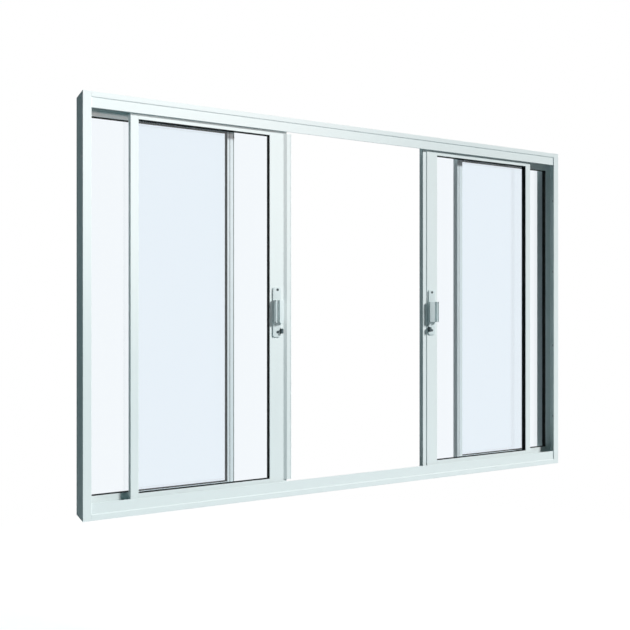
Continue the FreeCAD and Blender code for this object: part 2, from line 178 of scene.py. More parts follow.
class WindowHardware(bpy.types.PropertyGroup):
    """Sizes of the frame screws, the pile seals and the groove seals."""
    head_radius: length_property("Frame screw head", "Radius of the screw heads in the jambs", 4.6)
    head_dome: length_property("Frame screw dome", "Height of the screw heads in the jambs", 2.6)
    outer_spacing: length_property("Outer spacing", "Distance between the outer two frame screws", 700.0)
    inner_spacing: length_property("Inner spacing", "Distance between the inner two frame screws", 240.0)
    from_front: length_property("From front", "Frame screws behind the front of the frame", 18.35)
    web: length_property("Web", "Thickness of the jamb's web", 2.0)
    flange: length_property("Flange", "Width of the jamb's front flange", 20.0)
    backing: length_property("Pile backing", "Width of the woven backing", 5.0)
    backing_depth: length_property("Backing depth", "Thickness of the woven backing", 0.8)
    pile_width: length_property("Pile width", "Width of the brush pile at its root", 2.4)
    pile_taper: share_property("Pile taper", "Width of the pile's tip over that of its root", 0.7)
    pile_gap: length_property("Pile gap", "Gap left between pile and sash", 0.4)
    pile_ripple: length_property("Pile ripple", "How uneven the ends of the pile are", 0.25)
    band_back: length_property("Band back", "Back of the frame's bands behind the front", 3.6)
    seal_inset: length_property("Seal inset", "Middle of a seal behind the band's edge", 6.0)
    groove_width: length_property("Groove width", "Width of the grooves in the fixed stiles", 1.6)
    groove_depth: length_property("Groove depth", "Depth of those grooves", 0.8)
    groove_play: length_property("Groove play", "Gap between seal, groove and face", 0.05)
    groove_end: length_property("Groove end", "How far the seals stop short of the stile's ends", 1.0)
    left_groove_inner: length_property("Left inner groove", "Distance from the stile's free edge", 11.7)
    left_groove_outer: length_property("Left outer groove", "Distance from the stile's free edge", 1.4)
    right_groove: length_property("Right groove", "Distance from the stile's free edge", 5.7)
    pile_rows: IntProperty(name="Pile rows", description="Steps along a metre of pile", default=420, min=20)


class WindowStage(bpy.types.PropertyGroup):
    """Camera, lamps, background and floor."""
    camera_place: FloatVectorProperty(name="Camera place", description="Where the camera stands",
                                      default=(-1.100, -1.842, 0.479), size=3, subtype="TRANSLATION",
                                      unit="LENGTH")
    camera_turn: FloatProperty(name="Camera turn", description="Turn of the level camera from +Y to +X",
                               default=math.radians(27.97), subtype="ANGLE", unit="ROTATION")
    focal_length: FloatProperty(name="Focal length", description="Lens on a 36 mm wide sensor",
                                default=43.43, min=1.0, subtype="DISTANCE_CAMERA")
    key: power_property("Key", "Power of the far lamp on the right", 49400.0)
    fill: power_property("Fill", "Power of the weak lamp on the left", 0.95)
    pool: power_property("Pool", "Power of the spot on the upper left", 31.0)
    back: power_property("Back", "Power of the far lamp behind", 28000.0)
    pool_width: FloatProperty(name="Pool width", description="Full angle of that spot",
                              default=math.radians(50.0), subtype="ANGLE", unit="ROTATION")
    floor: colour_property("Floor", "Pale colour of the floor", "D8E8EC")
    floor_glow: share_property("Floor glow", "What the floor adds where it is seen, to look white", 0.6)
    floor_drop: length_property("Floor drop", "Depth of the floor below the sill", 900.0)
    floor_reach: length_property("Floor reach", "Radius of the floor", 3600.0)
    floor_fade: share_property("Floor fade", "Share of the radius from which on the floor fades out", 0.55)


class WindowLooks(bpy.types.PropertyGroup):
    """All settings of the window's looks."""
    finishes: PointerProperty(type=WindowFinishes, name="Finishes", description="Colours and gloss")
    gasket: PointerProperty(type=WindowGasket, name="Gasket", description="Glazing gasket section")
    latch: PointerProperty(type=WindowLatch, name="Latch", description="Latch sizes")
    hardware: PointerProperty(type=WindowHardware, name="Hardware", description="Screws and seals")
    stage: PointerProperty(type=WindowStage, name="Stage", description="Camera, lamps and floor")


def looks():
    """The settings kept in the scene."""
    return bpy.context.scene.window_looks


# Shapes: each is a pair of points and faces


def grid_faces(rows, columns, close_rows=False, close_columns=False):
    """Quads of a grid numbered row by row: point (r, c) joined with its neighbours r + 1 and c + 1.

    A closed direction joins its last line of points with its first.
    """
    row = np.arange(rows if close_rows else rows - 1)[:, None]
    column = np.arange(columns if close_columns else columns - 1)[None, :]
    next_row = (row + 1) % rows
    next_column = (column + 1) % columns
    corners = (row * columns + column, row * columns + next_column,
               next_row * columns + next_column, next_row * columns + column)
    return np.stack(np.broadcast_arrays(*corners), -1).reshape(-1, 4).tolist()


def rounded_outline(corners, steps=CORNER_STEPS):
    """Closed 2-D outline with each corner (a, b, reach) drawn as a parabola.

    The parabola starts and ends at the given reach from the corner on its two sides:
    (1-t)^2 start + 2t(1-t) corner + t^2 end.
    """
    given = np.array(corners, float)
    corner = given[:, :2]
    reach = given[:, 2:3]
    back = np.roll(corner, 1, 0) - corner
    ahead = np.roll(corner, -1, 0) - corner
    start = corner + back / np.linalg.norm(back, axis=1, keepdims=True) * reach
    end = corner + ahead / np.linalg.norm(ahead, axis=1, keepdims=True) * reach
    t = np.linspace(0.0, 1.0, steps)[None, :, None]
    curve = (1 - t) ** 2 * start[:, None] + 2 * t * (1 - t) * corner[:, None] + t ** 2 * end[:, None]
    return curve.reshape(-1, 2)


def inward_normals(outline):
    """Unit normals of a closed outline, turned to its inside: the tangent turned a quarter turn."""
    tangent = np.roll(outline, -1, 0) - np.roll(outline, 1, 0)
    normal = np.stack([-tangent[:, 1], tangent[:, 0]], 1)
    size = np.linalg.norm(normal, axis=1, keepdims=True)
    after = np.roll(outline, -1, 0)
    area = np.sum(outline[:, 0] * after[:, 1] - after[:, 0] * outline[:, 1])
    return normal / np.maximum(size, 1e-12) * np.sign(area)


def edge_rounding(radius, steps=CORNER_STEPS):
    """Quarter circle as (inset, drop) pairs: inset = r - r cos(a) and drop = r - r sin(a)."""
    angle = np.linspace(0.0, math.pi / 2, steps)
    return np.stack([radius - radius * np.cos(angle), radius - radius * np.sin(angle)], 1)


def layered_block(outline, layers):
    """Solid between stacked copies of an outline.

    layers lists (height, inset): each copy is moved along its inward normals by inset and
    lifted to height. The two end copies are closed with one face each.
    """
    layers = np.array(layers, float)
    flat = outline[None] + inward_normals(outline)[None] * layers[:, 1, None, None]
    heights = np.broadcast_to(layers[:, 0, None, None], flat.shape[:2] + (1,))
    points = np.concatenate([flat, heights], 2).reshape(-1, 3)
    count = len(outline)
    faces = grid_faces(len(layers), count, close_columns=True)
    faces.append(list(range(count))[::-1])
    faces.append(list(range((len(layers) - 1) * count, len(layers) * count)))
    return points, faces


def screw_head(radius, dome, sunk):
    """Domed head with a cross recess, its flat underside sunk into what it holds.

    Over the disc of radius R the height is dome * sqrt(1 - fall (r/R)^2) less the recess. The
    recess is there where the smaller of |x| and |y| is under half_arm * R and the larger under
    arm_end * R, and fades out over R / fade.
    """
    fall, recess = 0.6, 0.8 * dome
    half_arm, arm_end, fade = 1 / 8, 1 / 2, 12
    rings = np.linspace(0.0, 1.0, HEAD_RINGS)
    angle = np.linspace(0.0, 2 * math.pi, ROUND_STEPS, endpoint=False)[:, None]
    x = radius * rings * np.cos(angle)
    y = radius * rings * np.sin(angle)
    beside = np.minimum(np.abs(x), np.abs(y)) / radius
    along = np.maximum(np.abs(x), np.abs(y)) / radius
    cross = (np.clip((half_arm - beside) * fade + 0.5, 0, 1)
             * np.clip((arm_end - along) * fade + 0.5, 0, 1))
    z = dome * np.sqrt(1 - fall * rings ** 2) - recess * cross
    under = [np.stack([x[:, -1], y[:, -1], np.full(ROUND_STEPS, -sunk)], 1),
             np.stack([0 * x[:, 0], 0 * y[:, 0], np.full(ROUND_STEPS, -sunk)], 1)]
    top = np.stack([x, y, np.broadcast_to(z, x.shape)], 2)
    points = np.concatenate([top] + [row[:, None] for row in under], 1)
    return points.reshape(-1, 3), grid_faces(ROUND_STEPS, points.shape[1], close_rows=True)


def placed(shape, origin, across, up, out):
    """Shape drawn as (across, up, out), moved to the frame's own axes."""
    points, faces = shape
    return np.array(origin, float) + points @ np.array([across, up, out], float), faces


def gathered(shapes):
    """Several shapes as one."""
    offsets = np.cumsum([0] + [len(points) for points, _ in shapes[:-1]])
    faces = [[index + int(offset) for index in face]
             for (_, own_faces), offset in zip(shapes, offsets) for face in own_faces]
    return np.concatenate([points for points, _ in shapes]), faces


def make_piece(name, shape, finish, body, smooth_angle=35.0):
    """Closed piece at the origin with its doubles merged and its faces turned outwards.

    finish names its material.
    """
    points, faces = shape
    mesh = bpy.data.meshes.new(name)
    mesh.from_pydata(np.asarray(points, float).tolist(), [], faces)
    shell = bmesh.new()
    shell.from_mesh(mesh)
    bmesh.ops.remove_doubles(shell, verts=shell.verts, dist=0.002 * MM)
    bmesh.ops.dissolve_degenerate(shell, edges=shell.edges, dist=0.001 * MM)
    bmesh.ops.recalc_face_normals(shell, faces=shell.faces)
    shell.to_mesh(mesh)
    shell.free()
    mesh.materials.append(finish_for(finish))
    piece = bpy.data.objects.new(name, mesh)
    bpy.context.scene.collection.objects.link(piece)
    mesh.shade_smooth()
    mesh.set_sharp_from_angle(angle=math.radians(smooth_angle))
    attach(piece, body)
    return piece


def body_of_panel(side, track):
    """Name of the body that a panel belongs to."""
    return "frame" if track == "fixed" else side + "_sash"


# Materials


def add_node(tree, kind, inputs=None, **settings):
    """Adds one node with its settings; an input that is a socket is linked, any other is set."""
    node = tree.nodes.new(kind)
    for name, value in settings.items():
        setattr(node, name, value)
    for name, value in (inputs or {}).items():
        if isinstance(value, bpy.types.NodeSocket):
            tree.links.new(value, node.inputs[name])
        else:
            node.inputs[name].default_value = value
    return node


def new_material(name):
    """Material with no nodes, the tree it is built in, and the object coordinates of its textures."""
    material = bpy.data.materials.new(name)
    material.use_nodes = True
    tree = material.node_tree
    tree.nodes.clear()
    return material, tree, add_node(tree, "ShaderNodeTexCoord").outputs["Object"]


def opaque(colour):
    """Colour with full alpha."""
    return (*colour, 1.0)


def tinted(colour, factor):
    """The same colour, lighter or darker, with full alpha."""
    return opaque(min(1.0, channel * factor) for channel in colour)


def noise(tree, place, size, detail, **others):
    """Value of noise whose swells are about the given size in metres."""
    inputs = {"Vector": place, "Scale": 1 / size, "Detail": detail, **others}
    return add_node(tree, "ShaderNodeTexNoise", inputs).outputs["Fac"]


def two_tones(tree, factor, colour, low, high):
    """Colour between a darker and a lighter tone."""
    inputs = {"Factor": factor, "A": tinted(colour, low), "B": tinted(colour, high)}
    return add_node(tree, "ShaderNodeMix", inputs, data_type="RGBA").outputs["Result"]


def mottled_colour(tree, place, colour, size, low, high):
    """Colour that drifts between two tones over noise of the given size in metres."""
    return two_tones(tree, noise(tree, place, size, 3.0, Roughness=0.6), colour, low, high)


def mapped(tree, value, low, high):
    """A 0 to 1 value carried to the range low to high."""
    node = add_node(tree, "ShaderNodeMapRange", {"Value": value, "To Min": low, "To Max": high})
    return node.outputs["Result"]


def relief(tree, height, strength, depth, **others):
    """Normal of a relief whose height runs over the given depth in metres."""
    inputs = {"Height": height, "Strength": strength, "Distance": depth, **others}
    return add_node(tree, "ShaderNodeBump", inputs).outputs["Normal"]


def eased_edges(tree, radius):
    """Normal that rounds the edges of a piece by a radius in metres."""
    return add_node(tree, "ShaderNodeBevel", {"Radius": radius}, samples=4).outputs["Normal"]


def surface(tree, inputs):
    """The shader of a material, joined to its output."""
    shader = add_node(tree, "ShaderNodeBsdfPrincipled", inputs)
    add_node(tree, "ShaderNodeOutputMaterial", {"Surface": shader.outputs["BSDF"]})


def powder_coat():
    """White polyester powder coat, sprayed on extruded aluminium and baked.

    It gives an even satin white with a faint orange peel and small soft highlights on edges.
    """
    settings = looks().finishes
    material, tree, place = new_material("baked_white_powder_coat")
    # Orange peel: swellings 2.5 mm apart, drawn a little coarser than the real 1 to 2 mm.
    peel = noise(tree, place, 2.5 * MM, 2.0)
    # Grain of the baked powder, 0.3 mm.
    grain = noise(tree, place, 0.3 * MM, 1.0)
    # Edges are eased by 0.35 mm, the thickness that the coat builds up on them.
    swell = relief(tree, peel, 0.10, 0.10 * MM, Normal=eased_edges(tree, 0.35 * MM))
    gloss = settings.coat_roughness
    surface(tree, {
        # Slight drift of tone over a hand's width, as between batches of powder.
        "Base Color": mottled_colour(tree, place, settings.coat, 120 * MM, 0.985, 1.01),
        "Roughness": mapped(tree, peel, gloss - 0.04, gloss + 0.05),
        "IOR": 1.5, "Specular IOR Level": 0.3,
        "Normal": relief(tree, grain, 0.08, 0.02 * MM, Normal=swell)})
    return material


def float_glass():
    """Clear float glass, drawn flat on molten tin, with the faint blue of its iron.

    It gives clean see-through panes that tint what lies behind them a little, twice where two
    panes overlap. Rays from lamps pass straight through it.
    """
    settings = looks().finishes
    material, tree, place = new_material("clear_float_glass")
    # Draw lines of the float process, 60 mm apart and only microns high.
    waves = noise(tree, place, 60 * MM, 1.0)
    # Dried wipe marks hardly change the gloss.
    shader = add_node(tree, "ShaderNodeBsdfPrincipled", {
        "Base Color": opaque(settings.glass), "Roughness": mapped(tree, waves, 0.0, 0.012), "IOR": 1.52,
        "Transmission Weight": 1.0, "Normal": relief(tree, waves, 0.02, 0.01 * MM)})
    clear = add_node(tree, "ShaderNodeBsdfTransparent")
    rays = add_node(tree, "ShaderNodeLightPath")
    mix = add_node(tree, "ShaderNodeMixShader",
                   {0: rays.outputs["Is Shadow Ray"], 1: shader.outputs["BSDF"], 2: clear.outputs["BSDF"]})
    add_node(tree, "ShaderNodeOutputMaterial", {"Surface": mix.outputs["Shader"]})
    return material


def gasket_rubber():
    """Black EPDM rubber, extruded and vulcanised.

    It gives a soft matt black with fine lines along its length and a little bloom.
    """
    material, tree, place = new_material("extruded_epdm_rubber")
    # Skin of the extrusion, 0.25 mm.
    skin = noise(tree, place, 0.25 * MM, 2.0)
    surface(tree, {
        # Bloom in patches of 15 mm.
        "Base Color": mottled_colour(tree, place, looks().finishes.rubber, 15 * MM, 0.75, 1.35),
        "Roughness": mapped(tree, skin, 0.55, 0.75),
        "IOR": 1.5, "Specular IOR Level": 0.15,
        "Normal": relief(tree, skin, 0.3, 0.03 * MM)})
    return material


def latch_metal():
    """Extruded aluminium, blasted and anodised silver grey.

    It gives a light grey that is darker on sides turned from the lamps, with a fine sparkle.
    """
    settings = looks().finishes
    material, tree, place = new_material("satin_anodised_aluminium")
    # Blasted pits of 0.35 mm, coarser than real ones so that they show.
    pits = add_node(tree, "ShaderNodeTexVoronoi", {"Vector": place, "Scale": 1 / (0.35 * MM)})
    pits = pits.outputs["Distance"]
    gloss = settings.latch_roughness
    # The blasted oxide film scatters most of the light, so little of the metal's own gloss shows.
    surface(tree, {
        "Base Color": mottled_colour(tree, place, settings.latch, 4 * MM, 0.96, 1.03),
        "Roughness": mapped(tree, pits, gloss - 0.05, gloss + 0.08),
        "Metallic": 0.12, "Specular IOR Level": 0.3,
        "Normal": relief(tree, pits, 0.12, 0.02 * MM, Normal=eased_edges(tree, 0.25 * MM))})
    return material


def moulded_plastic(name, colour, roughness, grain):
    """Injection-moulded plastic with a fine sparked texture of the given grain in metres.

    It gives an even tone with soft highlights.
    """
    material, tree, place = new_material(name)
    spark = noise(tree, place, grain, 2.0)
    surface(tree, {
        "Base Color": mottled_colour(tree, place, colour, 8 * MM, 0.94, 1.05),
        "Roughness": mapped(tree, spark, roughness - 0.06, roughness + 0.06), "IOR": 1.5,
        "Normal": relief(tree, spark, 0.25, 0.03 * MM)})
    return material


def woven_pile():
    """Polypropylene pile, woven through a backing and cut.

    It gives a dark grey with bristles side by side and no gloss. Part of that darkness is painted shade: it
    deepens the dark line in the gap under the head band.
    """
    material, tree, place = new_material("woven_polypropylene_pile")
    # Tufts 0.6 mm apart along the strip, long in depth.
    stretched = add_node(tree, "ShaderNodeMapping", {"Vector": place, "Scale": (1.0, 0.15, 1.0)})
    tufts = noise(tree, stretched.outputs["Vector"], 0.6 * MM, 3.0)
    surface(tree, {
        "Base Color": two_tones(tree, tufts, looks().finishes.pile, 0.55, 1.3),
        "Roughness": mapped(tree, tufts, 0.85, 1.0), "IOR": 1.5, "Sheen Weight": 0.3,
        "Normal": relief(tree, tufts, 0.8, 0.2 * MM)})
    return material


def plated_steel(name, colour):
    """Carbon steel screws, cold headed and plated.

    It gives a grey metal with faint turning marks and darker recesses.
    """
    material, tree, place = new_material(name)
    marks = noise(tree, place, 0.4 * MM, 3.0)
    surface(tree, {
        "Base Color": mottled_colour(tree, place, colour, 2 * MM, 0.8, 1.1),
        "Roughness": mapped(tree, marks, 0.25, 0.42), "Metallic": 1.0,
        "Normal": relief(tree, marks, 0.15, 0.02 * MM)})
    return material


def zinc_screws():
    """Bright zinc plating on the frame screws."""
    return plated_steel("zinc_plated_steel", looks().finishes.screw)


def dark_screws():
    """Plated steel in a darker grey than the frame screws, so that the latch screws show as dark spots on
    the pale plates.
    """
    return plated_steel("dark_grey_plated_steel", looks().finishes.dark_screw)


def black_acetal():
    """Acetal lock button, moulded black with a fine grain that reads as dark grey in the light."""
    return moulded_plastic("moulded_black_acetal", looks().finishes.button, 0.35, 0.3 * MM)


def white_nylon():
    """Nylon rollers, guides and packers, moulded and left as they come."""
    return moulded_plastic("moulded_white_nylon", looks().finishes.nylon, 0.5, 0.4 * MM)


MAKERS = {
    "frame_white": powder_coat,
    "glass": float_glass,
    "gasket": gasket_rubber,
    "latch": latch_metal,
    "button": black_acetal,
    "nylon": white_nylon,
    "pile": woven_pile,
    "screw": zinc_screws,
    "dark_screw": dark_screws,
}
made = {}


def finish_for(slot):
    """The material of a slot, made once."""
    if slot not in made:
        made[slot] = MAKERS[slot]()
    return made[slot]


# Operators


class WINDOW_OT_finishes(bpy.types.Operator):
    """Gives every solid of the frame the finish of its slot"""
    bl_idname = "sliding_window.finishes"
    bl_label = "Finishes on the profiles"

    def execute(self, context):
        for part in frame["record"]["subparts"]:
            node = frame["nodes"][part["node"]]
            node.data.materials.clear()
            node.data.materials.append(finish_for(part["material_slot"]))
        return {"FINISHED"}


class WINDOW_OT_gaskets(bpy.types.Operator):
    """Rubber gaskets in front of and behind each pane, in place of the plain rings"""
    bl_idname = "sliding_window.gaskets"
    bl_label = "Glazing gaskets"

    def execute(self, context):
        section = looks().gasket
        for side in SIDES:
            for track in TRACKS:
                panel = side + "_" + track + "_"
                ring_low, ring_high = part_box(panel + "gasket")
                pane_low, pane_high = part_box(panel + "glass")
                rail_low, rail_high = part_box(panel + "bottom_rail")
                left, right, low = rail_low.x, rail_high.x, rail_high.z
                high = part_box(panel + "top_rail")[0].z
                # Each corner of the sight line, with the way to its inside.
                corners = np.array([(left, low, 1, 1), (right, low, -1, 1),
                                    (right, high, -1, -1), (left, high, 1, -1)])
                rings = [self.ring(corners, ring_low.y, pane_low.y, section),
                         self.ring(corners, ring_high.y, pane_high.y, section)]
                piece = make_piece(panel + "rubber", gathered(rings), "gasket",
                                   body_of_panel(side, track), smooth_angle=60.0)
                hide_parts(panel + "gasket")
        return {"FINISHED"}

    @staticmethod
    def ring(corners, outer_depth, glass_depth, section):
        """Section carried round four mitred corners: a point (u, v) of the section lies u inside
        both sight lines of each corner, at depth v.
        """
        way = math.copysign(1.0, glass_depth - outer_depth)
        deep = abs(glass_depth - outer_depth)
        outline = rounded_outline([
            (-section.seated, 0.0, 0.0),
            (section.proud - section.lip, 0.0, section.round),
            (section.proud, deep * section.front_edge, section.round),
            (section.proud - section.lip, deep * section.waist, section.round),
            (section.proud, deep, 0.0),
            (-section.seated, deep, 0.0),
        ], SEAL_STEPS)
        inside = outline[None, :, 0]
        x = corners[:, 0, None] + corners[:, 2, None] * inside
        z = corners[:, 1, None] + corners[:, 3, None] * inside
        y = np.broadcast_to(outer_depth + way * outline[None, :, 1], x.shape)
        points = np.stack([x, y, z], 2).reshape(-1, 3)
        return points, grid_faces(len(corners), len(outline), close_rows=True, close_columns=True)


def latch_frame(side):
    """Plate and pull of one latch, from its solids.

    sense points along X to the stile's free edge, middle is the plate's and glass_edge is the
    pull's side towards the pane.
    """
    low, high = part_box(side + "_sliding_latch_plate")
    pull_low, pull_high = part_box(side + "_sliding_latch_pull")
    is_left = side == "left"
    return {
        "middle": (low.x + high.x) / 2, "sense": 1.0 if is_left else -1.0, "low": low, "high": high,
        "pull_low": pull_low, "pull_high": pull_high, "glass_edge": pull_low.x if is_left else pull_high.x,
    }


class WINDOW_OT_latch_plates(bpy.types.Operator):
    """Latch plates with eased edges and a bay for the button"""
    bl_idname = "sliding_window.latch_plates"
    bl_label = "Latch plates"

    def execute(self, context):
        sizes = looks().latch
        for side in SIDES:
            place = latch_frame(side)
            low, high = place["low"], place["high"]
            half_width = (high.x - low.x) / 2
            half_height = (high.z - low.z) / 2
            button_low, button_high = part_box(side + "_sliding_latch_button")
            inner = button_low.x if side == "left" else button_high.x
            bay_end = (inner - place["middle"]) * place["sense"] - sizes.bay_play
            level = (low.z + high.z) / 2
            bay_low = button_low.z - level - sizes.bay_play
            bay_high = button_high.z - level + sizes.bay_play
            reach = sizes.corner
            bay_reach = min(sizes.button_corner, BAY_CORNER_SHARE * (half_width - bay_end))
            outline = rounded_outline([
                (-half_width, -half_height, reach),
                (half_width, -half_height, reach),
                (half_width, bay_low, 0.0),
                (bay_end, bay_low, bay_reach),
                (bay_end, bay_high, bay_reach),
                (half_width, bay_high, 0.0),
                (half_width, half_height, reach),
                (-half_width, half_height, reach),
            ], PLATE_STEPS)
            thick = high.y - low.y
            layers = [(0.0, 0.0)]
            layers += [(thick - drop, inset) for inset, drop in edge_rounding(sizes.plate_edge)]
            plate = placed(layered_block(outline, layers), (place["middle"], high.y, level),
                           (place["sense"], 0, 0), (0, 0, 1), (0, -1, 0))
            piece = make_piece(side + "_latch_cover_plate", plate, "latch", side + "_sash")
            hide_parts(side + "_sliding_latch_plate")
        return {"FINISHED"}


class WINDOW_OT_latch_pulls(bpy.types.Operator):
    """Finger pulls with a channel, a rib, a groove and a sloping grip face"""
    bl_idname = "sliding_window.latch_pulls"
    bl_label = "Latch pulls"

    def execute(self, context):
        sizes = looks().latch
        for side in SIDES:
            place = latch_frame(side)
            low, high = place["pull_low"], place["pull_high"]
            width = high.x - low.x
            channel_end = sizes.edge_wall + sizes.channel_width
            rib_end = channel_end + sizes.rib_width
            groove_end = rib_end + sizes.groove_width
            outline = rounded_outline([
                (0.0, 0.0, 0.0),
                (0.0, sizes.rib_depth, sizes.wall_round),
                (sizes.edge_wall, sizes.rib_depth, sizes.wall_round),
                (sizes.edge_wall, sizes.channel_floor, sizes.foot_round),
                (channel_end, sizes.channel_floor, sizes.foot_round),
                (channel_end, sizes.rib_depth, sizes.rib_round),
                (rib_end, sizes.rib_depth, sizes.rib_round),
                (rib_end, sizes.groove_floor, sizes.foot_round),
                (groove_end, sizes.groove_floor, sizes.foot_round),
                (groove_end, sizes.face_depth, sizes.edge_round),
                (width, sizes.free_depth, sizes.edge_round),
                (width, 0.0, 0.0),
            ])
            tall = high.z - low.z
            ease = edge_rounding(sizes.end_round)
            layers = [(drop, inset) for inset, drop in ease[::-1]]
            layers += [(tall - drop, inset) for inset, drop in ease]
            pull = placed(layered_block(outline, layers), (place["glass_edge"], high.y, low.z),
                          (place["sense"], 0, 0), (0, -1, 0), (0, 0, 1))
            piece = make_piece(side + "_finger_pull", pull, "latch", side + "_sash", smooth_angle=30.0)
            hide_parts(side + "_sliding_latch_pull")
        return {"FINISHED"}


class WINDOW_OT_latch_buttons(bpy.types.Operator):
    """Upright lock buttons with a dished face"""
    bl_idname = "sliding_window.latch_buttons"
    bl_label = "Lock buttons"

    def execute(self, context):
        sizes = looks().latch
        for side in SIDES:
            low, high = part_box(side + "_sliding_latch_button")
            half_width = (high.x - low.x) / 2
            half_height = (high.z - low.z) / 2
            depth = high.y - low.y
            outline = rounded_outline([(a * half_width, b * half_height, sizes.button_corner)
                                       for a, b in ((-1, -1), (1, -1), (1, 1), (-1, 1))], BUTTON_STEPS)
            layers = [(0.0, 0.0)]
            layers += [(depth - drop, inset) for inset, drop in edge_rounding(sizes.button_round)]
            layers.append((depth - sizes.dish, 2 * sizes.button_round))
            button = placed(layered_block(outline, layers),
                            ((low.x + high.x) / 2, high.y, (low.z + high.z) / 2),
                            (1, 0, 0), (0, 0, 1), (0, -1, 0))
            piece = make_piece(side + "_lock_button", button, "button", side + "_sash")
            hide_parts(side + "_sliding_latch_button")
        return {"FINISHED"}


class WINDOW_OT_screws(bpy.types.Operator):
    """Screws in the latch plates and in the jambs"""
    bl_idname = "sliding_window.screws"
    bl_label = "Screws"

    def execute(self, context):
        sizes = looks().latch
        hardware = looks().hardware
        for side in SIDES:
            place = latch_frame(side)
            low, high = place["low"], place["high"]
            button_low, button_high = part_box(side + "_sliding_latch_button")
            x = (button_low.x + button_high.x) / 2 - place["sense"] * sizes.screw_from_button
            head = screw_head(sizes.screw_radius, sizes.screw_dome, sizes.screw_dome)
            heads = [placed(head, (x, low.y, z), (1, 0, 0), (0, 0, 1), (0, -1, 0))
                     for z in (low.z + sizes.low_screw_from_end, high.z - sizes.screw_from_end)]
            make_piece(side + "_latch_screws", gathered(heads), "dark_screw", side + "_sash",
                       smooth_angle=50.0)
            jamb_low, jamb_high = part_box(side + "_jamb")
            middle = (jamb_low.z + jamb_high.z) / 2
            into = place["sense"]
            web = (jamb_low.x if side == "left" else jamb_high.x) + into * hardware.web
            y = jamb_low.y + hardware.from_front
            head = screw_head(hardware.head_radius, hardware.head_dome, 0.0)
            heads = [placed(head, (web, y, middle + way * spacing / 2), (0, 1, 0), (0, 0, 1), (into, 0, 0))
                     for spacing in (hardware.outer_spacing, hardware.inner_spacing) for way in (-1, 1)]
            make_piece(side + "_jamb_screws", gathered(heads), "screw", "frame",
                       smooth_angle=50.0)
        return {"FINISHED"}


class WINDOW_OT_pile_seals(bpy.types.Operator):
    """Woven pile seals behind the bands of the head and the sill"""
    bl_idname = "sliding_window.pile_seals"
    bl_label = "Pile seals"

    def execute(self, context):
        sizes = looks().hardware
        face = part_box("left_sliding_top_rail")[0].y
        for node, inward in (("head_track", -1), ("sill_track", 1)):
            low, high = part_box(node)
            back = low.y + sizes.band_back
            edge = low.z if inward < 0 else high.z
            level = edge - inward * sizes.seal_inset
            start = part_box("left_jamb")[0].x + sizes.flange
            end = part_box("right_jamb")[1].x - sizes.flange
            strip = self.strip(start, end, back, face - sizes.pile_gap, level, sizes)
            make_piece(node.split("_")[0] + "_pile_seal", strip, "pile", "frame",
                       smooth_angle=50.0)
        return {"FINISHED"}

    @staticmethod
    def strip(start, end, back, tip, level, sizes):
        """Section of backing and pile carried along X. The tip's depth ripples by a long and a
        short sine of x, weighted 0.6 and 0.4.
        """
        rows = int((end - start) * sizes.pile_rows)
        x = np.linspace(start, end, rows)[:, None]
        long_wave, short_wave = 7 * MM, 2.3 * MM
        ripple = sizes.pile_ripple / 2 * (1 + 0.6 * np.sin(2 * math.pi * x / long_wave)
                                          + 0.4 * np.sin(2 * math.pi * x / short_wave))
        half = sizes.backing / 2
        pile = sizes.pile_width / 2
        top = sizes.pile_taper * pile
        root = back + sizes.backing_depth
        heights = np.array([-half, -half, -pile, -top, top, pile, half, half])
        depths = np.array([back, root, root, tip, tip, root, root, back])
        moves = np.array([0, 0, 0, -1, -1, 0, 0, 0.0])
        y = depths[None] + moves[None] * ripple
        z = np.broadcast_to(level + heights[None], y.shape)
        points = np.stack([np.broadcast_to(x, y.shape), y, z], 2).reshape(-1, 3)
        count = len(heights)
        faces = grid_faces(rows, count, close_columns=True)
        faces.append(list(range(count))[::-1])
        faces.append(list(range((rows - 1) * count, rows * count)))
        return points, faces


class WINDOW_OT_groove_seals(bpy.types.Operator):
    """Black rubber seals filling the grooves of the fixed panels' inner stiles flush; their black is partly
    painted shade, the dark line of a deep groove
    """
    bl_idname = "sliding_window.groove_seals"
    bl_label = "Groove seals"

    def execute(self, context):
        sizes = looks().hardware
        for side, places in (("left", (sizes.left_groove_inner, sizes.left_groove_outer)),
                             ("right", (sizes.right_groove,))):
            low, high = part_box(side + "_fixed_interlock_stile")
            sense = -1.0 if side == "left" else 1.0
            edge = high.x if side == "left" else low.x
            strips = []
            for place in places:
                middle = edge + sense * (place + sizes.groove_width / 2)
                half = sizes.groove_width / 2 - sizes.groove_play
                floor = low.y + sizes.groove_depth
                outline = rounded_outline([
                    (middle - half, floor, 0.0),
                    (middle - half, low.y + sizes.groove_play, half),
                    (middle + half, low.y + sizes.groove_play, half),
                    (middle + half, floor, 0.0),
                ], SEAL_STEPS)
                ends = [(low.z + sizes.groove_end, 0.0), (high.z - sizes.groove_end, 0.0)]
                strips.append(layered_block(outline, ends))
            # Flush with the face, the black strips draw dark lines that stand in, in part, for the shade
            # inside deep grooves: painted shade.
            make_piece(side + "_groove_seal", gathered(strips), "gasket", "frame", smooth_angle=50.0)
        return {"FINISHED"}


